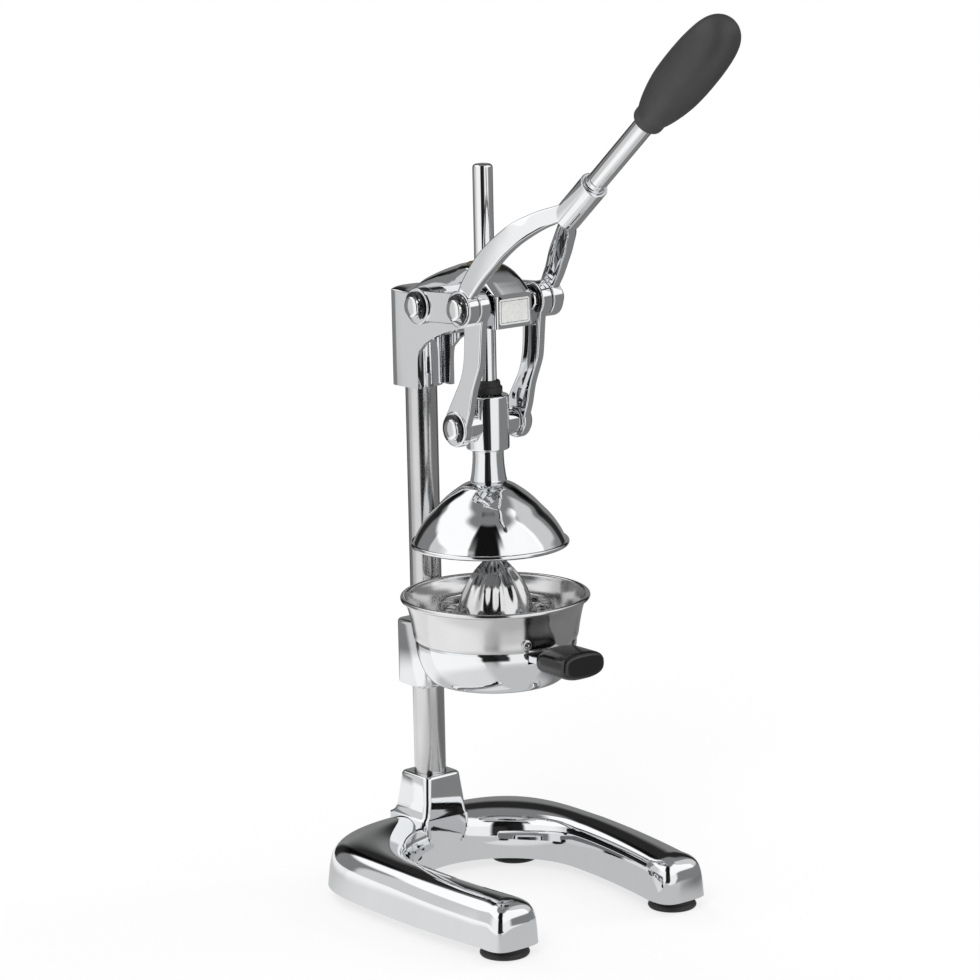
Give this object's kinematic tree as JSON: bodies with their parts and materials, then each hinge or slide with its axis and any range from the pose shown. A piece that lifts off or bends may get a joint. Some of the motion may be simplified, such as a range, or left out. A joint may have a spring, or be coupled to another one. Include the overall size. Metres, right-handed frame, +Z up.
{
  "type": "lever citrus juice press",
  "caption": "Tabletop lever press: horseshoe base, column, head with forked lever and links, sliding ram with press cup, strainer bowl with cone.",
  "frame": {"origin": "centre of the part's footprint at table height, under the feet", "axes": "+Z up along the ram, -Y to the front, where the lever points and the base opens, +X to the right seen from the front"},
  "size_m": [0.19, 0.3276, 0.5861],
  "materials": {
    "chrome_casting": "mirror chrome plate on a cast body",
    "chrome_rod": "polished chrome plate on turned bar",
    "polished_steel": "polished stainless sheet and bar with fine brush marks",
    "screw_steel": "plain zinc-plated fastener",
    "dark_clip": "dark spring steel",
    "bush_bronze": "plain turned bronze",
    "black_rubber": "matt moulded rubber",
    "charcoal_grip": "matt soft moulding with a fine grain",
    "black_handle": "gloss moulding"
  },
  "bodies": {
    "stand": {"base_casting": "chrome_casting", "foot_1": "black_rubber", "foot_2": "black_rubber", "foot_3": "black_rubber", "foot_4": "black_rubber", "foot_screw_1": "screw_steel", "foot_screw_2": "screw_steel", "foot_screw_3": "screw_steel", "foot_screw_4": "screw_steel", "column": "polished_steel", "column_washer": "screw_steel", "column_bolt": "screw_steel", "bowl_bracket": "chrome_casting", "bracket_screw": "screw_steel", "juice_bowl": "polished_steel", "handle_tab": "polished_steel", "bowl_handle": "black_handle", "strainer": "polished_steel", "pressing_cone": "polished_steel", "head_casting": "chrome_casting", "head_screw": "screw_steel", "badge_plate": "polished_steel", "guide_bush_upper": "bush_bronze", "guide_bush_lower": "bush_bronze", "pivot_axle": "chrome_rod", "pivot_clip_left": "dark_clip", "pivot_clip_right": "dark_clip"},
    "ram": {"ram_rod": "chrome_rod", "crosshead": "chrome_casting", "crosshead_screw": "screw_steel", "bumper": "black_rubber", "press_cup": "chrome_casting", "cup_neck": "chrome_casting", "cup_screw": "screw_steel"},
    "lever": {"lever_fork": "chrome_casting", "lever_tube": "chrome_rod", "lever_grip": "charcoal_grip", "crank_pin_left": "chrome_rod", "crank_pin_right": "chrome_rod", "crank_clip_left": "dark_clip", "crank_clip_right": "dark_clip", "crank_inner_clip_left": "dark_clip", "crank_inner_clip_right": "dark_clip"},
    "link_left_body": {"link_left": "chrome_casting", "link_pin_left": "chrome_rod", "link_clip_left": "dark_clip"},
    "link_right_body": {"link_right": "chrome_casting", "link_pin_right": "chrome_rod", "link_clip_right": "dark_clip"}
  },
  "joints": [
    {"name": "lever", "type": "hinge", "parent": "stand", "child": "lever", "pos_m": [0, 0.09335, 0.3935], "axis": [1, 0, 0], "range_deg": [-38, 52]},
    {"name": "ram_slide", "type": "slide", "parent": "stand", "child": "ram", "axis": [0, 0, -1], "range_m": [-0.027, 0.0365]},
    {"name": "link_left_pivot", "type": "hinge", "parent": "lever", "child": "link_left_body", "pos_m": [-0.025, 0.04995, 0.396], "axis": [1, 0, 0], "range_deg": [-53, 39]},
    {"name": "link_right_pivot", "type": "hinge", "parent": "lever", "child": "link_right_body", "pos_m": [0.025, 0.04995, 0.396], "axis": [1, 0, 0], "range_deg": [-53, 39]}
  ],
  "couplings": [
    {"joint": "ram_slide", "follows": "lever", "m_per_rad": 0.039248},
    {"joint": "link_left_pivot", "follows": "lever", "ratio": -1},
    {"joint": "link_right_pivot", "follows": "lever", "ratio": -1}
  ]
}
